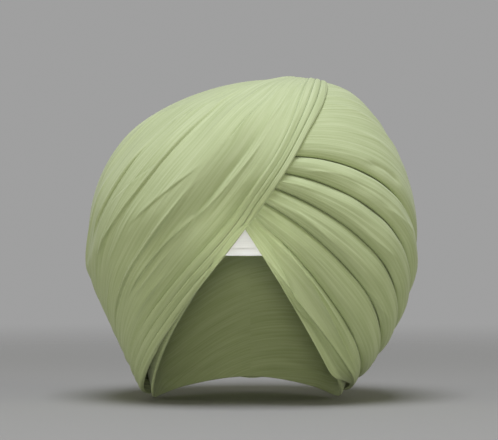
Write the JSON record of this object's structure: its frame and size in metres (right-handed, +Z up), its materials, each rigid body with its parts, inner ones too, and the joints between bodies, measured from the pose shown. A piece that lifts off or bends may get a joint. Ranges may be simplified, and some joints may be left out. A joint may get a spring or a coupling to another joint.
{
  "type": "turban",
  "caption": "Wound cloth turban with lapped turns fanning over one side, a wide sheet drawn across the other with a pleated edge, and an open hollow for the head.",
  "frame": {"origin": "centre of the head ring, level with the lower edge of the under-band at the brow", "axes": "+Z up towards the crown, -Y towards the face, +X to the viewer's right when the face is seen from the front"},
  "size_m": [0.2752, 0.2706, 0.2677],
  "materials": {
    "turban_cloth": "matt fine voile, pale sage green",
    "under_band_cloth": "matt plain weave, white"
  },
  "bodies": {
    "root": {"under_band": "under_band_cloth", "inner_turns": "turban_cloth", "right_turn_1": "turban_cloth", "right_turn_2": "turban_cloth", "right_turn_3": "turban_cloth", "right_turn_4": "turban_cloth", "right_turn_5": "turban_cloth", "top_turn": "turban_cloth", "back_turn_1": "turban_cloth", "back_turn_2": "turban_cloth", "back_turn_3": "turban_cloth", "back_turn_4": "turban_cloth", "front_sheet": "turban_cloth", "edge_pleats": "turban_cloth"}
  },
  "joints": []
}
